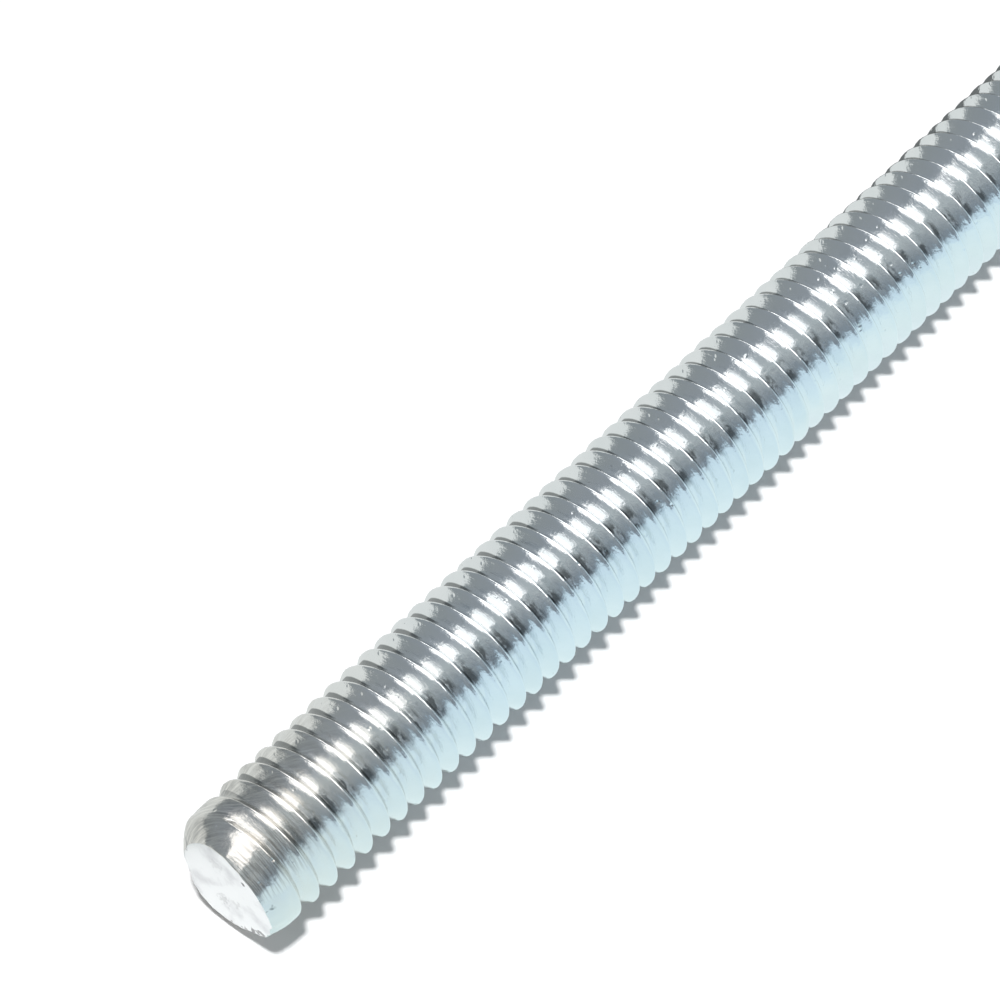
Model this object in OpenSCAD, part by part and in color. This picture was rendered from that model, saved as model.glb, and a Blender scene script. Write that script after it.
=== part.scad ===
// Fully threaded rod: a right-hand metric thread rolled along a plain steel bar.
// Each end has a flat cut face, a rounded lead-in and a short smooth land, and the
// near end has one small flat where the shears pressed its rim.
// The axis lies along +X. The origin is the centre of the near end face.

/* [Thread] */
// Nominal thread diameter
thread_d = 6; // [5.5:0.5:8]
// Axial distance from one crest to the next
pitch = 1; // [0.8:0.05:1.25]
// How far the rolled crests stay under the nominal radius
crest_under = 0.025; // [0:0.005:0.05]
// How far the smooth land stays under the crests
land_under = 0.115; // [0.09:0.005:0.2]
// Turns over which the groove sinks from the land to its full depth
run_in_turns = 0.2; // [0.1:0.05:0.6]
// Angle around the axis at which the near groove starts, from +Y towards +Z
start_angle = 55; // [0:5:355]
// Flat facets in one turn of the thread
turn_facets = 20; // [18:1:21]

/* [Length] */
// Overall length of the rod
rod_l = 70; // [30:1:75]

/* [Ends] */
// Diameter of the flat cut face at each end
end_face_d = 4.72; // [4:0.02:5]
// Axial length of the rounded lead-in
lead_in_l = 0.85; // [0.4:0.05:0.9]
// Distance from the end face to the end of the smooth land
land_end = 1; // [1:0.05:2]

/* [Sheared flat on the near rim] */
// Distance from the axis to the flat, on the end face
shear_flat_r = 1.95; // [1.8:0.05:2.3]
// Angle around the axis that the flat faces, from +Y towards +Z
shear_flat_angle = 342; // [0:1:359]
// Slope of the flat away from the axis
shear_flat_slope = 45; // [35:1:60]

/* [Hidden] */

// Groove of the 60 degree metric profile, as shares of the pitch
crest_flat = 1 / 8;
groove_depth = 0.6134;
flank_run = groove_depth * tan(30);

crest_r = thread_d / 2 - crest_under;
root_r = thread_d / 2 - groove_depth * pitch;
land_r = crest_r - land_under;
face_r = end_face_d / 2;

// The facets stand a little outside the land, so the land ends inside them
collar_r = land_r / cos(180 / turn_facets) + 0.005;
// The crests rise from the collar to their full radius along this length
crest_rise_l = 1.5 * pitch;

// Step along the rod from one facet to the next
row_step = pitch / turn_facets;
// The turned ends are seated one step inside the plain collar before the first groove
seat_x = land_end + row_step;
thread_x0 = seat_x;
thread_x1 = rod_l - seat_x - pitch;
last_row = floor((thread_x1 - thread_x0) / row_step);
run_in_rows = max(1, round(run_in_turns * turn_facets));

// Axial places of the four profile points in one pitch, crest first
profile_x = [0, crest_flat, crest_flat + flank_run, 1 - flank_run] * pitch;

function around(x, r, row) =
    let (a = start_angle + row * 360 / turn_facets) [x, r * cos(a), r * sin(a)];

// Radius of the crests at a place along the rod, softer beside each land
function crest_at(x) =
    let (inset = min(x - land_end, rod_l - land_end - x))
    min(crest_r, collar_r + (crest_r - collar_r) * inset / crest_rise_l);

// Share of its full depth that the groove has in a row
function depth_at(row) = min(1, row / run_in_rows, (last_row - row) / run_in_rows);

function row_x(row) = thread_x0 + row * row_step;

function profile_point(row, i) =
    let (x = row_x(row) + profile_x[i], crest = crest_at(x), sink = i < 2 ? 0 : depth_at(row))
    around(x, crest - sink * (crest - root_r), row);

// Point numbers: the near ring, the rows of the groove, the last boundary, the far ring
first_row_at = turn_facets;
boundary_at = first_row_at + 4 * (last_row + 1);
far_ring_at = boundary_at + turn_facets;

function near_ring(row) = row % turn_facets;
function far_ring(row) = far_ring_at + row % turn_facets;
function groove(row, i) =
    i == 4 ? groove(row + turn_facets, 0)
    : row <= last_row ? first_row_at + 4 * row + i
    : boundary_at + row - last_row - 1;

function quad(a, b, c, d) = [[a, b, c], [a, c, d]];

// The groove wound around the bar, as one closed faceted solid between the two lands
module thread() {
    facets = [0:turn_facets - 1];
    near_last = turn_facets - 1;
    far_first = last_row + 1;
    far_last = last_row + turn_facets;
    points = [
        for (row = facets) around(land_end, collar_r, row),
        for (row = [0:last_row], i = [0:3]) profile_point(row, i),
        for (row = [far_first:far_last]) around(row_x(row), crest_at(row_x(row)), row),
        for (row = facets) around(rod_l - land_end, collar_r, row)
    ];
    near_collar = [
        for (row = [0:near_last - 1])
            each quad(near_ring(row), groove(row, 0), groove(row + 1, 0), near_ring(row + 1)),
        [near_ring(near_last), groove(0, 0), near_ring(0)],
        for (i = [0:3]) [near_ring(near_last), groove(0, i + 1), groove(0, i)],
        [near_ring(near_last), groove(near_last, 0), groove(0, 4)]
    ];
    turns = [
        for (row = [0:last_row - 1], i = [0:3])
            each quad(groove(row, i), groove(row, i + 1), groove(row + 1, i + 1), groove(row + 1, i))
    ];
    far_collar = [
        for (row = [far_first:far_last - 1])
            each quad(groove(row, 0), far_ring(row), far_ring(row + 1), groove(row + 1, 0)),
        [far_ring(far_first), groove(far_first, 0), groove(last_row, 0)],
        for (i = [0:3]) [far_ring(far_first), groove(last_row, i), groove(last_row, i + 1)],
        [far_ring(far_first), groove(last_row, 4), far_ring(last_row)]
    ];
    caps = [[for (row = facets) near_ring(row)], [for (row = facets) far_ring(near_last - row)]];
    polyhedron(points, concat(caps, near_collar, turns, far_collar));
}

// One turned end: flat face, rounded lead-in and smooth land
module rod_end() {
    arc_steps = 6;
    arc_from = 25;
    rise = 1 - sin(arc_from);
    run = cos(arc_from);
    lead_in = [
        for (i = [0:arc_steps])
            let (a = arc_from + (90 - arc_from) * i / arc_steps)
            [
                face_r + (land_r - face_r) * (sin(a) - sin(arc_from)) / rise,
                lead_in_l * (cos(arc_from) - cos(a)) / run
            ]
    ];
    rotate([0, 90, 0])
        rotate_extrude($fn = 60)
            polygon(concat([[0, 0]], lead_in, [[land_r, seat_x], [0, seat_x]]));
}

// What the shears pressed off the near rim, wider than the rod
module shear_cut() {
    reach = 2 * thread_d;
    rotate([shear_flat_angle, 0, 0])
        translate([0, shear_flat_r, 0])
            rotate([0, 0, shear_flat_slope])
                translate([-reach / 2, 0, -reach / 2])
                    cube(reach);
}

module near_end() {
    difference() {
        rod_end();
        shear_cut();
    }
}

module far_end() {
    translate([rod_l, 0, 0])
        mirror([1, 0, 0])
            rod_end();
}

module threaded_rod() {
    color([0.78, 0.8, 0.82]) {
        near_end();
        thread();
        far_end();
    }
}

threaded_rod();
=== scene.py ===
"""Looks of the threaded rod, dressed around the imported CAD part.

Everything is in the row frame: the rod's axis is +X, the near end face is at the origin
and Z is up. The rod's sizes are in millimetres, which MM turns into metres. The studio's
sizes are in metres.
"""

import math

import bpy
import numpy as np
from mathutils import Matrix, Vector

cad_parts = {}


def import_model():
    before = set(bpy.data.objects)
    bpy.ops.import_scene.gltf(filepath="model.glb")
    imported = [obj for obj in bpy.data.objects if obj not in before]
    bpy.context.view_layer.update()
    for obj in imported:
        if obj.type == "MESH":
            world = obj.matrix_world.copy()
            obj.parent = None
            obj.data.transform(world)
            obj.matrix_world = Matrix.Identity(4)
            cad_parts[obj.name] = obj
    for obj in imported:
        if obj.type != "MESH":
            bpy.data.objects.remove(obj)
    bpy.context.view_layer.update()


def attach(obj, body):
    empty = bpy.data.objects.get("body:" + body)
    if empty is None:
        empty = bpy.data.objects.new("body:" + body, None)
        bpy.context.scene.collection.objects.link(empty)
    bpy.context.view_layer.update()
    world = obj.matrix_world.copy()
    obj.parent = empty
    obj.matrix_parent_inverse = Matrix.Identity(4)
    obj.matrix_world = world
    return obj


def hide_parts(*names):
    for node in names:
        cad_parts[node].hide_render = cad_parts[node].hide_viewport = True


MM = 0.001

# ---- The photograph's camera: degrees from +X and degrees down
CAMERA_AZIMUTH = 41.5
CAMERA_ELEVATION = 54.3
SENSOR_WIDTH = 36
FOCAL_LENGTH = 140.44
# Where the near end face is from the camera, in millimetres
NEAR_FACE_RIGHT = -10.758
NEAR_FACE_DOWN = 14.981
NEAR_FACE_AHEAD = 150.49

# ---- The rod
LENGTH = 70.0
PITCH = 1.0
CREST_R = 2.975
ROOT_R = 2.3866
# Depth in the profile that would reach the root of the CAD solid's groove
GROOVE_DEPTH = 0.6134
# Where the smooth land ends, where the first groove starts, and its angle around the axis
LAND_END = 1.0
SEAT_X = 1.061
START_ANGLE = 55.0
# Turns over which the groove sinks to its full depth
RUN_IN_TURNS = 0.1
# Points in one turn of the thread
SEGMENTS = 60
# The near end has this many points for each one of the thread
FINER = 3
SHARP_ANGLE = 50

# One pitch of the rolled thread: share of the pitch along the rod, depth under the crest on
# the scale of GROOVE_DEPTH. It starts on the crest. The root is broad, and the flank that
# faces the near end is the flatter.
PROFILE = np.array(
    [
        (0.000, 0.000),
        (0.030, 0.002),
        (0.060, 0.009),
        (0.090, 0.024),
        (0.120, 0.052),
        (0.150, 0.100),
        (0.310, 0.400),
        (0.345, 0.448),
        (0.390, 0.478),
        (0.450, 0.488),
        (0.510, 0.482),
        (0.555, 0.460),
        (0.600, 0.420),
        (0.640, 0.375),
        (0.830, 0.165),
        (0.865, 0.122),
        (0.900, 0.082),
        (0.935, 0.046),
        (0.965, 0.020),
        (0.985, 0.006),
    ]
)
POINTS = len(PROFILE)

# Radius of the crests beside each end: distance from the end, radius
CREST_RISE = np.array(
    [(1.0, 2.81), (2.05, 2.86), (3.2, 2.89), (6.0, 2.915), (11.0, 2.95), (16.0, 2.972)]
)

# Rim of each end face around the axis: angle, radius, distance along the rod
NEAR_RIM = np.array(
    [
        (0, 2.05, 0.08),
        (15, 2.08, 0.10),
        (30, 2.12, 0.12),
        (45, 2.16, 0.15),
        (60, 2.22, 0.17),
        (75, 2.26, 0.18),
        (90, 2.28, 0.16),
        (105, 2.30, 0.12),
        (120, 2.34, 0.08),
        (135, 2.40, 0.07),
        (150, 2.46, 0.05),
        (165, 2.53, 0.05),
        (180, 2.60, 0.06),
        (195, 2.64, 0.07),
        (210, 2.60, 0.08),
        (222, 2.42, 0.08),
        (240, 2.32, 0.07),
        (255, 2.32, 0.06),
        (270, 2.32, 0.04),
        (285, 2.33, 0.02),
        (300, 2.30, 0.01),
        (315, 2.19, 0.02),
        (330, 1.99, 0.04),
        (345, 1.95, 0.06),
        (360, 2.05, 0.08),
    ]
)
FAR_RIM = np.array([(0, 2.36, 0.0), (360, 2.36, 0.0)])

# How ragged the near rim is: the most it strays, and the share of that at an angle
RIM_STRAY = 0.045
BURR = np.array([(0, 0.3), (165, 0.3), (185, 1), (225, 1), (245, 0.3), (360, 0.3)])
# Radius at which the raggedness is drawn, and its wavelength
RIM_R = 2.3
RIM_WAVE = 0.45

# Lead-in from the rim to the land: share of the way along the rod, share of the rise
LEAD_IN = np.array(
    [(0, 0), (0.05, 0.08), (0.17, 0.24), (0.36, 0.48), (0.54, 0.69), (0.71, 0.86), (0.87, 0.965), (1, 1)]
)
LEAD_IN_RINGS = (0.87, 0.74, 0.62, 0.51, 0.41, 0.32, 0.24, 0.17, 0.11, 0.06, 0.02, 0.0)
FACE_RINGS = (0.975, 0.93, 0.86, 0.77, 0.66, 0.54, 0.41, 0.28, 0.14)
# How fast the unevenness of the rim dies away towards the middle of the face
RIM_FADE = 6

# Waves of the rolled and plated surface: height, seed, wavelength, stretch
SURFACE_WAVES = [
    (0.009, 3, 1.5, (0.6, 1.6, 1.6)),
    (0.004, 4, 0.6, (0.5, 1.8, 1.8)),
]
WAVE_COUNT = 30
# How far the surface lies under its nominal radius, and the radius within which it is still
SURFACE_DROP = 0.004
STILL_R = 0.5

# ---- Marks and colours of the metal
# Dark nicks and smears on the near end: y, z, half size, strength
NICKS = [
    (0.76, -2.55, 0.20, 0.8),
    (0.35, -2.62, 0.14, 0.9),
    (0.05, -2.40, 0.12, 0.8),
    (-0.43, -2.28, 0.13, 0.7),
    (-1.10, -2.00, 0.15, 0.7),
    (-1.57, -1.68, 0.16, 0.8),
    (-1.90, -1.38, 0.26, 0.8),
    (-1.18, 1.50, 0.09, 1.0),
    (-2.40, 0.84, 0.12, 0.7),
    (0.00, -0.95, 0.34, 0.25),
    (0.30, 1.30, 0.30, 0.15),
    (-0.75, -0.55, 0.22, 0.18),
    (2.00, 0.90, 0.22, 0.55),
]
# Relief of the plate: height, grain along x, y and z, detail
RELIEF = [
    (0.005, (0.04, 0.45, 0.45), 3),
    (0.009, (0.16, 0.20, 0.20), 2),
    (0.016, (0.5, 0.9, 0.9), 2),
]
PIT_DEPTH = 0.018
PIT_SPACING = 0.5
# Millimetres around the rod that a scratch of the worn patch goes for each one along it
SCRATCH_SLANT = 2.0

ZINC_TONES = [(0.35, (0.79, 0.82, 0.83)), (0.65, (0.84, 0.86, 0.87))]
DULL_ZINC = (0.83, 0.80, 0.75)
WORN_ZINC = (0.44, 0.44, 0.43)
STREAK_COLOUR = (0.36, 0.34, 0.31)
# Colour of the dark nicks, and of the painted shade in the thread
NICK_AND_SHADE_COLOUR = (0.16, 0.17, 0.17)
STEEL_TONES = [(0.3, (0.66, 0.67, 0.68)), (0.5, (0.82, 0.84, 0.84))]
NICK_COLOUR = (0.12, 0.12, 0.12)

# ---- The studio: the tent around the rod, seen along its axis. Degrees over from the
# horizon beyond the rod to the camera's side, and what glows there
STUDIO = [
    (-90, (0.80, 0.83, 0.82)),
    (0, (0.80, 0.83, 0.82)),
    (3, (0.285, 0.315, 0.325)),
    (50, (0.29, 0.325, 0.36)),
    (64, (0.43, 0.47, 0.51)),
    (108, (0.45, 0.50, 0.52)),
    (120, (0.39, 0.43, 0.45)),
    (140, (0.27, 0.31, 0.34)),
    (158, (0.21, 0.26, 0.31)),
    (162, (0.64, 0.82, 0.94)),
    (180, (0.74, 0.93, 1.0)),
    (205, (0.82, 0.98, 1.0)),
    (225, (0.84, 0.97, 1.0)),
    (270, (0.84, 0.97, 1.0)),
]
TENT_R = 1.5
TENT_HALF_LENGTH = 5.0
TENT_STEPS = 60
# Where the pale cards under the tent begin, from the axis: on the camera's side and beyond
CARD_NEAR = 0.0022
CARD_FAR = 0.0036
CARD_LIFT = 0.0001
# Past BAND_TOP the bands shrink to this share, from the first lean to the second
BAND_SPREAD = 0.78
BAND_TOP = 100
BAND_LEAN = (-30, -40)
# Where the tent's cloth hangs in folds, in degrees over, and how wide they are
FOLDS_OVER = (112, 159)
FOLD_SIZE = (60, 60, 60)
# The softbox overhead: degrees over, degrees of lean
SOFTBOX_OVER = (62, 105)
SOFTBOX_LEAN = (-53, 42)
SOFTBOX_GLOW = 1.5
# Towards the far end: a dim screen low down beyond the rod and a bright wall above it, each
# with the lean where it begins
SCREEN_LEAN = 40
SCREEN_OVER = 3
SCREEN_GLOW = (0.17, 0.18, 0.18)
WALL_LEAN = 50
WALL_OVER = (8, 135)
WALL_GLOW = (2.6, 2.6, 2.6)

FLOOR_HALF = 3.0
FLOOR_COLOUR = (0.9, 0.9, 0.9, 1)
# What the floor glows with for the rays that see the background, to reach plain white
FLOOR_LIFT = 0.05
AROUND_COLOUR = (0.92, 0.95, 1.0, 1)
AROUND_STRENGTH = 0.22
# The lamp: how far it leans to the near end, its height in degrees from beyond the rod over
# to the camera's side, and how wide it is in degrees
LAMP_ENERGY = 3.0
LAMP_LEAN = 0.15
LAMP_OVER = 95
LAMP_WIDTH = 6


def make_camera():
    """The photograph's camera: a long lens that looks down along the rod from its near end."""
    azimuth = math.radians(CAMERA_AZIMUTH)
    elevation = math.radians(CAMERA_ELEVATION)
    ca, sa = math.cos(azimuth), math.sin(azimuth)
    ce, se = math.cos(elevation), math.sin(elevation)
    right = Vector((sa, -ca, 0))
    forward = Vector((ce * ca, ce * sa, -se))
    down = Vector((-se * ca, -se * sa, -ce))
    near_face = (NEAR_FACE_RIGHT * right + NEAR_FACE_DOWN * down + NEAR_FACE_AHEAD * forward) * MM

    data = bpy.data.cameras.new("photo_camera")
    data.sensor_width = SENSOR_WIDTH
    data.lens = FOCAL_LENGTH
    data.clip_start = 0.001
    data.clip_end = 50
    camera = bpy.data.objects.new("photo_camera", data)
    turn = Matrix((right, -down, -forward)).transposed()
    camera.matrix_world = Matrix.Translation(-near_face) @ turn.to_4x4()
    bpy.context.scene.collection.objects.link(camera)
    bpy.context.scene.camera = camera


# ---- The rod's mesh


def waves(points, seed, count, wavelength, stretch=(1, 1, 1)):
    """Smooth seeded noise of about unit size: plane waves of one mean wavelength, in mm."""
    rng = np.random.default_rng(seed)
    total = np.zeros(len(points))
    for _ in range(count):
        direction = rng.normal(size=3)
        direction /= np.linalg.norm(direction)
        direction /= np.array(stretch)
        length = wavelength * rng.uniform(0.6, 1.6)
        total += np.sin(points @ direction * (2 * math.pi / length) + rng.uniform(0, 2 * math.pi))
    return total * math.sqrt(2 / count)


def ease(t):
    """Smooth step from 0 to 1."""
    t = np.clip(t, 0, 1)
    return t * t * (3 - 2 * t)


def crest_radius(x):
    inset = np.minimum(x, LENGTH - x)
    return np.interp(inset, CREST_RISE[:, 0], CREST_RISE[:, 1])


def thread_rows():
    """Radius, place along the rod and angle of the thread's points, row after row.

    The rows wind along the helix. One more turn of rows at each end fills the plain collar
    between the land and the first or last groove."""
    last = int((LENGTH - 2 * SEAT_X - PITCH) / PITCH * SEGMENTS)
    rows = np.arange(-SEGMENTS, last + SEGMENTS + 1)[:, None]
    share, depth = PROFILE[:, 0][None, :], PROFILE[:, 1][None, :]

    start = SEAT_X + rows * PITCH / SEGMENTS
    near_x = LAND_END + (start + PITCH - LAND_END) * share
    far_x = start + (LENGTH - LAND_END - start) * share
    x = np.where(rows < 0, near_x, np.where(rows > last, far_x, start + share * PITCH))

    run_in = SEGMENTS * RUN_IN_TURNS
    sink = ease(rows / run_in) * ease((last - rows) / run_in)
    crest = crest_radius(x)
    radius = crest - sink * depth / GROOVE_DEPTH * (crest - ROOT_R)
    angle = np.repeat(np.radians(START_ANGLE + rows * 360 / SEGMENTS), POINTS, axis=1)
    return radius, x, angle, last


def thread_faces(last):
    """Quads of the thread, and the closing polygon where each collar's column ends."""
    ring = (last + 2 * SEGMENTS + 1) * POINTS

    def at(row, i):
        if i < POINTS:
            return (row + SEGMENTS) * POINTS + i
        if row <= last:
            return (row + 2 * SEGMENTS) * POINTS
        return ring + row - last - 1

    faces = []
    for row in range(-SEGMENTS, last + SEGMENTS):
        for i in range(POINTS):
            faces.append((at(row, i), at(row, i + 1), at(row + 1, i + 1), at(row + 1, i)))
    near_column = [at(-SEGMENTS, i) for i in range(POINTS, -1, -1)]
    faces.append([at(-1, 0)] + near_column)
    far_column = [at(last + SEGMENTS, i) for i in range(POINTS + 1)]
    faces.append(far_column + [ring])
    near_ring = [at(row, 0) for row in range(-SEGMENTS, 0)]
    far_ring = [ring + k for k in range(SEGMENTS)]
    return faces, near_ring, far_ring


def ragged(angles):
    """How far the near rim strays: most at the burr low on the side of the camera."""
    places = RIM_R * np.stack([np.cos(angles), np.sin(angles), 0 * angles], 1)
    strength = np.interp(np.degrees(angles) % 360, BURR[:, 0], BURR[:, 1])
    return strength * RIM_STRAY * waves(places, 8, 16, RIM_WAVE)


def end_rings(rim, angles, land_r):
    """Radius and place along the rod, from the end face, of an end's rings, land first."""
    degrees = np.degrees(angles) % 360
    rim_r = np.interp(degrees, rim[:, 0], rim[:, 1])
    rim_x = np.interp(degrees, rim[:, 0], rim[:, 2])
    if rim is NEAR_RIM:
        rim_r = rim_r + ragged(angles)
    rings = []
    for share in LEAD_IN_RINGS:
        rise = np.interp(share, LEAD_IN[:, 0], LEAD_IN[:, 1])
        rings.append((rim_r + (land_r - rim_r) * rise, rim_x + (LAND_END - rim_x) * share))
    # The face is a plane through the rim, which it meets with what the rim strays from it
    y, z = rim_r * np.cos(angles), rim_r * np.sin(angles)
    plane, *_ = np.linalg.lstsq(np.stack([np.ones_like(y), y, z], 1), rim_x, rcond=None)
    stray = rim_x - (plane[0] + plane[1] * y + plane[2] * z)
    for share in FACE_RINGS:
        flat = plane[0] + share * (plane[1] * y + plane[2] * z)
        rings.append((rim_r * share, flat + stray * share**RIM_FADE))
    return rings, plane[0]


def add_end(columns, faces, kinds, ring, rim, finer, far):
    """One end of the rod, from the thread's last ring to the middle of the face."""
    share = np.arange(SEGMENTS * finer) / finer
    first = share.astype(int)
    angles = columns[2][ring][first] + (share - first) * math.radians(360 / SEGMENTS)
    after = np.roll(columns[0][ring], -1)[first]
    land_r = columns[0][ring][first] * (1 - share + first) + after * (share - first)
    rings, centre_x = end_rings(rim, angles, land_r)
    count = len(angles)
    previous, ratio = list(ring), finer
    for k, (r, inset) in enumerate(rings):
        start = len(columns[0])
        columns[0] = np.concatenate([columns[0], r])
        columns[1] = np.concatenate([columns[1], LENGTH - inset if far else inset])
        columns[2] = np.concatenate([columns[2], angles])
        current = list(range(start, start + count))
        for a in range(len(previous)):
            inner = [current[(ratio * a + i) % count] for i in range(ratio, -1, -1)]
            face = [previous[a], previous[(a + 1) % len(previous)]] + inner
            faces.append(face[::-1] if far else face)
            kinds.append(1 if k >= len(LEAD_IN_RINGS) else 0)
        previous, ratio = current, 1
    centre = len(columns[0])
    columns[0] = np.append(columns[0], 0)
    columns[1] = np.append(columns[1], LENGTH - centre_x if far else centre_x)
    columns[2] = np.append(columns[2], 0)
    for a in range(count):
        fan = [previous[a], previous[(a + 1) % count], centre]
        faces.append(fan[::-1] if far else fan)
        kinds.append(1)


def weathered(points, radius):
    """Points moved in and out a little, as the rolled and plated surface is."""
    wobble = sum(
        height * waves(points, seed, WAVE_COUNT, wavelength, stretch)
        for height, seed, wavelength, stretch in SURFACE_WAVES
    )
    drop = np.where(radius > STILL_R, wobble - SURFACE_DROP, 0)
    moved = points.copy()
    moved[:, 1:] *= (1 + drop / np.maximum(radius, STILL_R))[:, None]
    return moved


def build_rod(materials):
    """The whole rod as one closed mesh that takes the place of the CAD solid.

    The materials are that of the outside and that of the cut faces."""
    radius, x, angle, last = thread_rows()
    faces, near_ring, far_ring = thread_faces(last)
    kinds = [0] * len(faces)
    ring_x = np.full(SEGMENTS, LENGTH - LAND_END)
    columns = [
        np.concatenate([radius.ravel(), crest_radius(ring_x)]),
        np.concatenate([x.ravel(), ring_x]),
        np.concatenate([angle.ravel(), angle[-SEGMENTS:, 0]]),
    ]
    add_end(columns, faces, kinds, near_ring, NEAR_RIM, FINER, False)
    add_end(columns, faces, kinds, far_ring, FAR_RIM, 1, True)
    radius, x, angle = columns
    points = np.stack([x, radius * np.cos(angle), radius * np.sin(angle)], 1)
    points = weathered(points, radius)

    mesh = bpy.data.meshes.new("zinc_threaded_rod")
    mesh.from_pydata((points * MM).tolist(), [], faces)
    for material in materials:
        mesh.materials.append(material)
    mesh.polygons.foreach_set("material_index", np.array(kinds, np.int32))
    mesh.flip_normals()
    mesh.shade_smooth()
    mesh.set_sharp_from_angle(angle=math.radians(SHARP_ANGLE))
    mesh.validate()
    rod = bpy.data.objects.new("zinc_threaded_rod", mesh)
    bpy.context.scene.collection.objects.link(rod)
    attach(rod, "root")
    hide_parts("threaded_rod")


# ---- Shader nodes


def node(tree, kind, **values):
    """A new node, with values for its inputs or its own settings."""
    made = tree.nodes.new(kind)
    for name, value in values.items():
        if name in made.inputs:
            made.inputs[name].default_value = value
        else:
            setattr(made, name, value)
    return made


def new_material(name):
    material = bpy.data.materials.new(name)
    material.use_nodes = True
    tree = material.node_tree
    return material, tree, tree.nodes["Principled BSDF"]


def object_place(tree):
    """The object's own coordinates, as a vector and one by one."""
    place = node(tree, "ShaderNodeTexCoord").outputs["Object"]
    axes = node(tree, "ShaderNodeSeparateXYZ")
    tree.links.new(place, axes.inputs["Vector"])
    return place, *axes.outputs


def in_grains(tree, vector, grain):
    """The vector counted in grains, whose size along each axis is in millimetres."""
    mapping = node(tree, "ShaderNodeMapping")
    mapping.inputs["Scale"].default_value = [1 / (MM * size) for size in grain]
    tree.links.new(vector, mapping.inputs["Vector"])
    return mapping.outputs["Vector"]


def noise(tree, vector, grain, detail=4.0, roughness=0.55, scale=1.0):
    made = node(tree, "ShaderNodeTexNoise", Scale=scale, Detail=detail, Roughness=roughness)
    tree.links.new(in_grains(tree, vector, grain), made.inputs["Vector"])
    return made.outputs["Fac"]


def ramp(tree, value, stops):
    made = node(tree, "ShaderNodeValToRGB")
    elements = made.color_ramp.elements
    while len(elements) < len(stops):
        elements.new(0.5)
    for element, (place, colour) in zip(elements, stops):
        element.position = place
        element.color = (*colour, 1)
    tree.links.new(value, made.inputs["Fac"])
    return made.outputs["Color"]


def remap(tree, value, low, high, to_low, to_high):
    """The range from low to high stretched to another one, and held at its ends."""
    made = node(tree, "ShaderNodeMapRange")
    made.inputs["From Min"].default_value = low
    made.inputs["From Max"].default_value = high
    made.inputs["To Min"].default_value = to_low
    made.inputs["To Max"].default_value = to_high
    tree.links.new(value, made.inputs["Value"])
    return made.outputs["Result"]


def math_node(tree, operation, a, b=None):
    made = node(tree, "ShaderNodeMath", operation=operation)
    for socket, value in zip(made.inputs, (a, b)):
        if value is None:
            continue
        if isinstance(value, (int, float)):
            socket.default_value = value
        else:
            tree.links.new(value, socket)
    return made.outputs["Value"]


def combine(tree, operation, first, *others):
    """Several values joined by one operation, from left to right."""
    for other in others:
        first = math_node(tree, operation, first, other)
    return first


def length_of(tree, a, b):
    """Length of the vector with these two parts."""
    squares = combine(tree, "ADD", math_node(tree, "POWER", a, 2), math_node(tree, "POWER", b, 2))
    return math_node(tree, "SQRT", squares)


def mix_colour(tree, share, a, b):
    made = node(tree, "ShaderNodeMix", data_type="RGBA")
    made.clamp_result = False
    for socket, value in ((made.inputs[0], share), (made.inputs[6], a), (made.inputs[7], b)):
        if isinstance(value, tuple):
            socket.default_value = (*value, 1)
        else:
            tree.links.new(value, socket)
    return made.outputs[2]


def tinted(tree, colour, factor):
    made = node(tree, "ShaderNodeVectorMath", operation="SCALE")
    tree.links.new(colour, made.inputs[0])
    tree.links.new(factor, made.inputs["Scale"])
    return made.outputs["Vector"]


def window(tree, value, low, high, soft):
    """1 between low and high, with soft edges."""
    rise = remap(tree, value, low - soft, low + soft, 0, 1)
    fall = remap(tree, value, high - soft, high + soft, 1, 0)
    return combine(tree, "MULTIPLY", rise, fall)


def facing(tree, angle, low, high, soft):
    """1 between two angles around the rod, in degrees from +Y towards +Z."""
    return window(tree, angle, math.radians(low), math.radians(high), math.radians(soft))


def fading(tree, x, full, gone):
    """1 at the near end, and falling to 0 between two distances from it."""
    return remap(tree, x, full * MM, gone * MM, 1, 0)


def on_thread(tree, x, inset, soft):
    """1 on the rod but for this much at each end."""
    return window(tree, x, inset * MM, (LENGTH - inset) * MM, soft * MM)


# ---- Materials of the rod


def zinc_material():
    """Bright zinc plate: duller and warmer at the near end, with streaks, scratches, painted shade in the
    thread and small pits."""
    material, tree, shader = new_material("bright_zinc_plate")
    place, x, y, z = object_place(tree)
    angle = math_node(tree, "ARCTAN2", z, y)
    patches = noise(tree, place, (0.8, 1.2, 1.2))
    dull = combine(tree, "MULTIPLY", fading(tree, x, 2, 13), remap(tree, patches, 0.35, 0.65, 0.7, 1))

    shader.inputs["Metallic"].default_value = 1.0
    colour = zinc_colour(tree, place, x, y, z, angle, patches, dull)
    tree.links.new(colour, shader.inputs["Base Color"])
    roughness = zinc_roughness(tree, place, x, length_of(tree, y, z), dull)
    tree.links.new(roughness, shader.inputs["Roughness"])
    bump = node(tree, "ShaderNodeBump", Strength=1.0, Distance=MM)
    tree.links.new(zinc_relief(tree, place), bump.inputs["Height"])
    tree.links.new(bump.outputs["Normal"], shader.inputs["Normal"])
    return material


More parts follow.
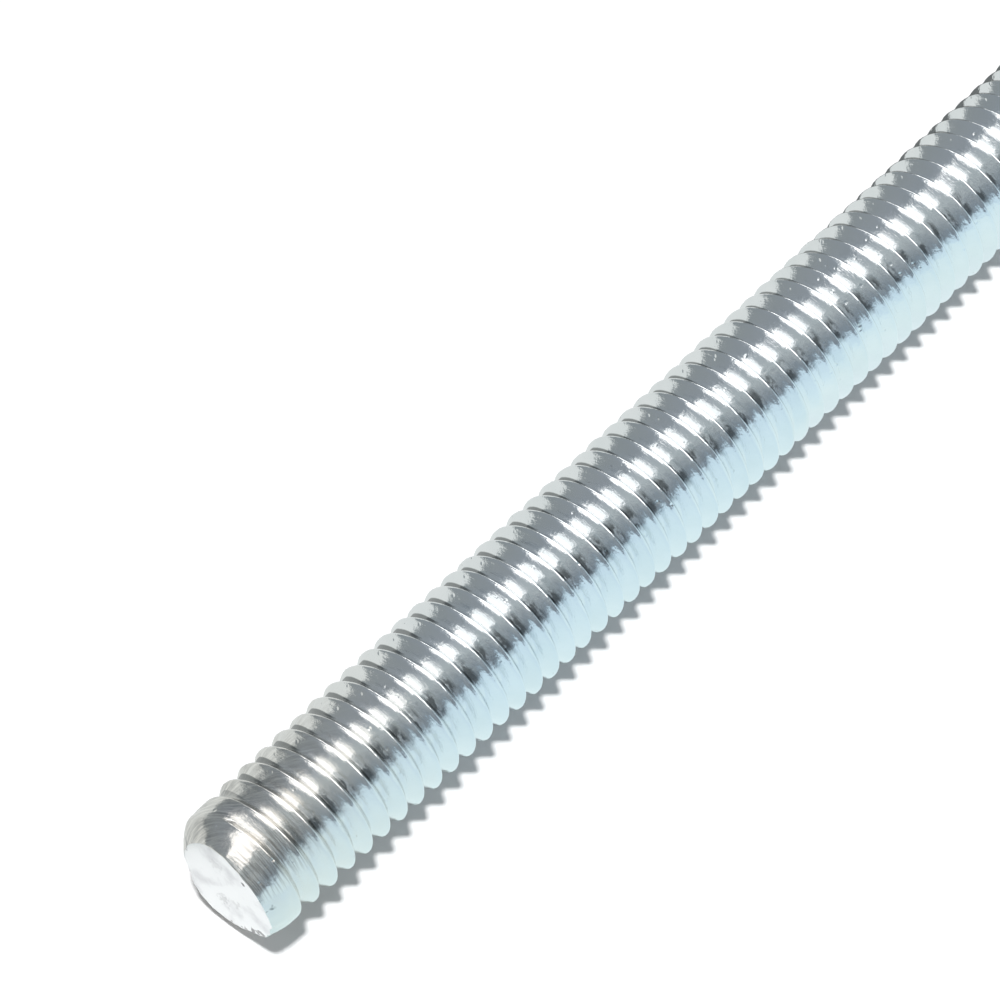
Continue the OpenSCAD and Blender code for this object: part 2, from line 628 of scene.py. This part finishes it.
def zinc_colour(tree, place, x, y, z, angle, patches, dull):
    """The plate's two tones, and on them its wear, its nicks and the painted shade in the thread."""
    scratches = worn_patch(tree, x, angle)
    worn = combine(tree, "MULTIPLY", scratches, remap(tree, patches, 0.40, 0.58, 0.45, 1))
    marks = combine(tree, "MULTIPLY", nicks(tree, place, y, z), fading(tree, x, 0.35, 0.5))
    # The nicks are marks on the metal; the groove mask is painted shade in the thread
    dark = combine(tree, "MAXIMUM", marks, painted_groove_shade(tree, place, x, angle))
    colour = ramp(tree, noise(tree, place, (1, 1, 1), scale=0.5), ZINC_TONES)
    colour = mix_colour(tree, dull, colour, DULL_ZINC)
    colour = mix_colour(tree, worn, colour, WORN_ZINC)
    colour = mix_colour(tree, brushed_streaks(tree, place, x, angle), colour, STREAK_COLOUR)
    return mix_colour(tree, dark, colour, NICK_AND_SHADE_COLOUR)


def zinc_roughness(tree, place, x, radius, dull):
    """A gloss that varies a little along the rod, and is less at the near end and in the
    grooves."""
    streaks = noise(tree, place, (0.05, 0.6, 0.6), 3)
    gloss = remap(tree, streaks, 0.3, 0.7, 0.07, 0.13)
    depth = remap(tree, radius, 2.72 * MM, 2.50 * MM, 0, 1)
    groove = combine(tree, "MULTIPLY", depth, on_thread(tree, x, 1.2, 0.2))
    in_dull = combine(tree, "MULTIPLY", dull, 0.10)
    in_groove = combine(tree, "MULTIPLY", groove, 0.06)
    return combine(tree, "ADD", gloss, in_dull, in_groove)


def zinc_relief(tree, place):
    """Height of the fine lines, specks, swells and pits, in millimetres."""
    layers = []
    for height, grain, detail in RELIEF:
        layers.append(combine(tree, "MULTIPLY", noise(tree, place, grain, detail), height))
    layers.append(combine(tree, "MULTIPLY", pits(tree, place), -PIT_DEPTH))
    return combine(tree, "ADD", *layers)


def groove_share(tree, x, angle):
    """Share of the pitch at which a point of the thread lies, as in the profile."""
    turns = combine(tree, "MULTIPLY", angle, 1 / (2 * math.pi))
    along = combine(tree, "MULTIPLY", x, 1 / (PITCH * MM))
    lag = START_ANGLE / 360 - SEAT_X / PITCH
    place = combine(tree, "ADD", combine(tree, "SUBTRACT", along, turns), lag)
    return math_node(tree, "FRACT", place)


def painted_groove_shade(tree, place, x, angle):
    """Painted shade in the thread, darkening that the studio's light alone doesn't give: a line behind
    each crest on the upper side beyond the camera, where the flank lies in shade, and spots at the root on
    the camera's side, which stand for dark reflections."""
    share = groove_share(tree, x, angle)
    # The line ends at this share of the pitch, which falls as it goes up the rod's side
    edge = remap(tree, angle, math.radians(28), math.radians(64), 0.78, 0.51)
    before_edge = remap(tree, combine(tree, "SUBTRACT", share, edge), -0.015, 0.015, 0.85, 0)
    past_crest = remap(tree, share, 0.15, 0.20, 0, 1)
    line = combine(tree, "MULTIPLY", before_edge, past_crest, facing(tree, angle, 10, 66, 4))

    spots = remap(tree, noise(tree, place, (0.3, 0.7, 0.7)), 0.44, 0.54, 0, 0.85)
    root = combine(tree, "MULTIPLY", window(tree, share, 0.27, 0.62, 0.05), facing(tree, angle, 113, 138, 5))
    shade = combine(tree, "MAXIMUM", line, combine(tree, "MULTIPLY", root, spots))
    return combine(tree, "MULTIPLY", shade, on_thread(tree, x, 2.6, 0.4))


def nicks(tree, place, y, z):
    """The strength of the dark marks on the near end."""
    ragged_edge = noise(tree, place, (0.3, 0.2, 0.2), 1)
    marks = []
    for y0, z0, size, strength in NICKS:
        across = combine(tree, "SUBTRACT", y, y0 * MM)
        up = combine(tree, "SUBTRACT", z, z0 * MM)
        stray = remap(tree, ragged_edge, 0.25, 0.75, -size * MM, size * MM)
        reach = combine(tree, "ADD", length_of(tree, across, up), stray)
        marks.append(remap(tree, reach, size * MM, 0.5 * size * MM, 0, strength))
    return combine(tree, "MAXIMUM", *marks)


def brushed_streaks(tree, place, x, angle):
    """Fine dark streaks around the near land, on the camera's side."""
    streaks = noise(tree, place, (0.07, 1.2, 1.2))
    streaks = remap(tree, streaks, 0.44, 0.60, 0, 0.65)
    side = facing(tree, angle, 102, 146, 8)
    return combine(tree, "MULTIPLY", streaks, combine(tree, "MULTIPLY", side, fading(tree, x, 1.8, 4)))


def worn_patch(tree, x, angle):
    """The slanting scratches that dull the upper side of the near end, beyond the camera."""
    around = combine(tree, "MULTIPLY", angle, CREST_R * MM)
    across = combine(tree, "SUBTRACT", around, combine(tree, "MULTIPLY", x, SCRATCH_SLANT))
    place = node(tree, "ShaderNodeCombineXYZ")
    tree.links.new(across, place.inputs["X"])
    tree.links.new(x, place.inputs["Y"])
    scratches = noise(tree, place.outputs["Vector"], (0.22, 0.9, 1), 5, 0.65)
    scratches = remap(tree, scratches, 0.36, 0.56, 0, 0.85)
    side = facing(tree, angle, 8, 86, 16)
    return combine(tree, "MULTIPLY", scratches, combine(tree, "MULTIPLY", side, fading(tree, x, 3, 9)))


def pits(tree, place):
    """1 in the middle of small pits that are strewn thinly over the surface."""
    cells = node(tree, "ShaderNodeTexVoronoi", Scale=1.0)
    tree.links.new(in_grains(tree, place, [PIT_SPACING] * 3), cells.inputs["Vector"])
    hollow = remap(tree, cells.outputs["Distance"], 0.02, 0.2, 1, 0)
    pick = node(tree, "ShaderNodeSeparateColor")
    tree.links.new(cells.outputs["Color"], pick.inputs["Color"])
    return combine(tree, "MULTIPLY", hollow, remap(tree, pick.outputs[0], 0.62, 0.64, 0, 1))


def cut_face_material():
    """Bare steel where the rod was cut off: pale, dull and slightly smeared."""
    material, tree, shader = new_material("cut_steel")
    place, x, y, z = object_place(tree)
    shader.inputs["Metallic"].default_value = 1.0
    tone = noise(tree, place, (1, 1, 1), 5, scale=0.9)
    marks = combine(tree, "MULTIPLY", nicks(tree, place, y, z), fading(tree, x, 1.1, 1.3))
    colour = mix_colour(tree, marks, ramp(tree, tone, STEEL_TONES), NICK_COLOUR)
    tree.links.new(colour, shader.inputs["Base Color"])
    tree.links.new(remap(tree, tone, 0.3, 0.7, 0.42, 0.3), shader.inputs["Roughness"])
    bump = node(tree, "ShaderNodeBump", Strength=0.35, Distance=0.00003)
    tree.links.new(noise(tree, place, (1, 0.35, 0.35)), bump.inputs["Height"])
    tree.links.new(bump.outputs["Normal"], shader.inputs["Normal"])
    return material


# ---- The studio


def seen_directly(tree):
    """1 for rays that the background should look white to: camera, mirror and glass rays."""
    path = node(tree, "ShaderNodeLightPath").outputs
    return combine(tree, "ADD", path["Is Camera Ray"], path["Is Glossy Ray"], path["Is Transmission Ray"])


def make_floor():
    """A plain white floor that the rod lies on."""
    half = FLOOR_HALF
    top = -CREST_R * MM
    corners = [(-half, -half, top), (half, -half, top), (half, half, top), (-half, half, top)]
    mesh = bpy.data.meshes.new("floor")
    mesh.from_pydata(corners, [], [(0, 1, 2, 3)])
    floor = bpy.data.objects.new("floor", mesh)
    bpy.context.scene.collection.objects.link(floor)

    material, tree, shader = new_material("white_paper")
    shader.inputs["Base Color"].default_value = FLOOR_COLOUR
    shader.inputs["Roughness"].default_value = 1.0
    shader.inputs["Specular IOR Level"].default_value = 0.0
    shader.inputs["Emission Color"].default_value = (1, 1, 1, 1)
    lift = combine(tree, "MULTIPLY", seen_directly(tree), FLOOR_LIFT)
    tree.links.new(lift, shader.inputs["Emission Strength"])
    mesh.materials.append(material)


def make_tent():
    """The soft tent over the rod: only mirror and glass rays see it, so it casts no light on
    the floor."""
    low = CARD_LIFT - CREST_R * MM
    section = [(-CARD_NEAR, low)]
    for k in range(TENT_STEPS + 1):
        a = math.pi * (1 - k / TENT_STEPS)
        section.append((TENT_R * math.cos(a), TENT_R * math.sin(a) + low))
    section.append((CARD_FAR, low))
    count = len(section)
    centre = LENGTH / 2 * MM
    ends = (centre - TENT_HALF_LENGTH, centre + TENT_HALF_LENGTH)
    points = [(x, y, z) for x in ends for y, z in section]
    faces = [(k, k + 1, count + k + 1, count + k) for k in range(count - 1)]
    faces.append(tuple(range(1, count - 1)))
    faces.append(tuple(range(count + 1, 2 * count - 1)))
    mesh = bpy.data.meshes.new("tent")
    mesh.from_pydata(points, [], faces)
    mesh.materials.append(tent_material(centre))
    tent = bpy.data.objects.new("tent", mesh)
    bpy.context.scene.collection.objects.link(tent)
    tent.visible_camera = False
    tent.visible_diffuse = False
    tent.visible_shadow = False


def tent_material(centre):
    """Glowing cloth in bands along the rod, with a softbox overhead, and a dim screen and a
    bright wall towards the far end."""
    material = bpy.data.materials.new("tent_cloth")
    material.use_nodes = True
    tree = material.node_tree
    tree.nodes.clear()
    place, x, y, z = object_place(tree)
    over = remap(tree, math_node(tree, "ARCTAN2", y, z), -math.pi, math.pi, 270, -90)
    ahead = combine(tree, "SUBTRACT", x, centre)
    along = math_node(tree, "ARCTAN2", ahead, length_of(tree, y, z))
    lean = remap(tree, along, -math.pi, math.pi, -180, 180)

    softbox = window(tree, over, *SOFTBOX_OVER, 1.5)
    softbox = combine(tree, "MULTIPLY", softbox, window(tree, lean, *SOFTBOX_LEAN, 1.0))
    glow = tent_bands(tree, place, over, lean)
    glow = mix_colour(tree, far_screen(tree, over, lean), glow, SCREEN_GLOW)
    glow = mix_colour(tree, far_wall(tree, over, lean), glow, WALL_GLOW)
    glow = mix_colour(tree, softbox, glow, (1.0, 1.0, 1.0))
    emit = node(tree, "ShaderNodeEmission")
    tree.links.new(glow, emit.inputs["Color"])
    tree.links.new(remap(tree, softbox, 0, 1, 1, SOFTBOX_GLOW), emit.inputs["Strength"])
    out = node(tree, "ShaderNodeOutputMaterial")
    tree.links.new(emit.outputs[0], out.inputs["Surface"])
    return material


def tent_bands(tree, place, over, lean):
    """The cloth's bands. Towards the near end the dark ones on the camera's side come down
    lower, and they hang in folds."""
    past = math_node(tree, "MAXIMUM", combine(tree, "SUBTRACT", over, BAND_TOP), 0)
    slack = combine(tree, "MULTIPLY", past, remap(tree, lean, *BAND_LEAN, 0, 1 - BAND_SPREAD))
    share = remap(tree, combine(tree, "SUBTRACT", over, slack), -90, 270, 0, 1)
    bands = ramp(tree, share, [((degrees + 90) / 360, colour) for degrees, colour in STUDIO])
    folds = noise(tree, place, FOLD_SIZE, 4, 0.6)
    folded = tinted(tree, bands, remap(tree, folds, 0.38, 0.62, 0.2, 1.9))
    return mix_colour(tree, window(tree, over, *FOLDS_OVER, 3), bands, folded)


def far_screen(tree, over, lean):
    begun = remap(tree, lean, SCREEN_LEAN - 1, SCREEN_LEAN + 1, 0, 1)
    low_down = remap(tree, over, SCREEN_OVER - 2, SCREEN_OVER + 2, 1, 0)
    return combine(tree, "MULTIPLY", begun, low_down)


def far_wall(tree, over, lean):
    begun = remap(tree, lean, WALL_LEAN - 1, WALL_LEAN + 1, 0, 1)
    return combine(tree, "MULTIPLY", begun, window(tree, over, *WALL_OVER, 3))


def make_world():
    """White to the rays that see the background, and an even pale glow to the rest."""
    world = bpy.data.worlds.new("studio")
    world.use_nodes = True
    tree = world.node_tree
    tree.nodes.clear()
    around = node(tree, "ShaderNodeBackground", Color=AROUND_COLOUR, Strength=AROUND_STRENGTH)
    white = node(tree, "ShaderNodeBackground", Color=(1, 1, 1, 1), Strength=1.0)
    mix = node(tree, "ShaderNodeMixShader")
    tree.links.new(seen_directly(tree), mix.inputs[0])
    tree.links.new(around.outputs[0], mix.inputs[1])
    tree.links.new(white.outputs[0], mix.inputs[2])
    out = node(tree, "ShaderNodeOutputWorld")
    tree.links.new(mix.outputs[0], out.inputs["Surface"])
    bpy.context.scene.world = world


def make_key_light():
    """A soft lamp almost straight above the rod."""
    data = bpy.data.lights.new("key", "SUN")
    data.energy = LAMP_ENERGY
    data.angle = math.radians(LAMP_WIDTH)
    lamp = bpy.data.objects.new("key", data)
    lamp.visible_glossy = False
    over = math.radians(LAMP_OVER)
    towards = Vector((-LAMP_LEAN, math.cos(over), math.sin(over)))
    lamp.rotation_euler = towards.to_track_quat("Z", "Y").to_euler()
    bpy.context.scene.collection.objects.link(lamp)


def main():
    make_camera()
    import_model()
    build_rod([zinc_material(), cut_face_material()])
    make_floor()
    make_tent()
    make_world()
    make_key_light()
    bpy.context.scene.view_settings.view_transform = "Standard"


main()
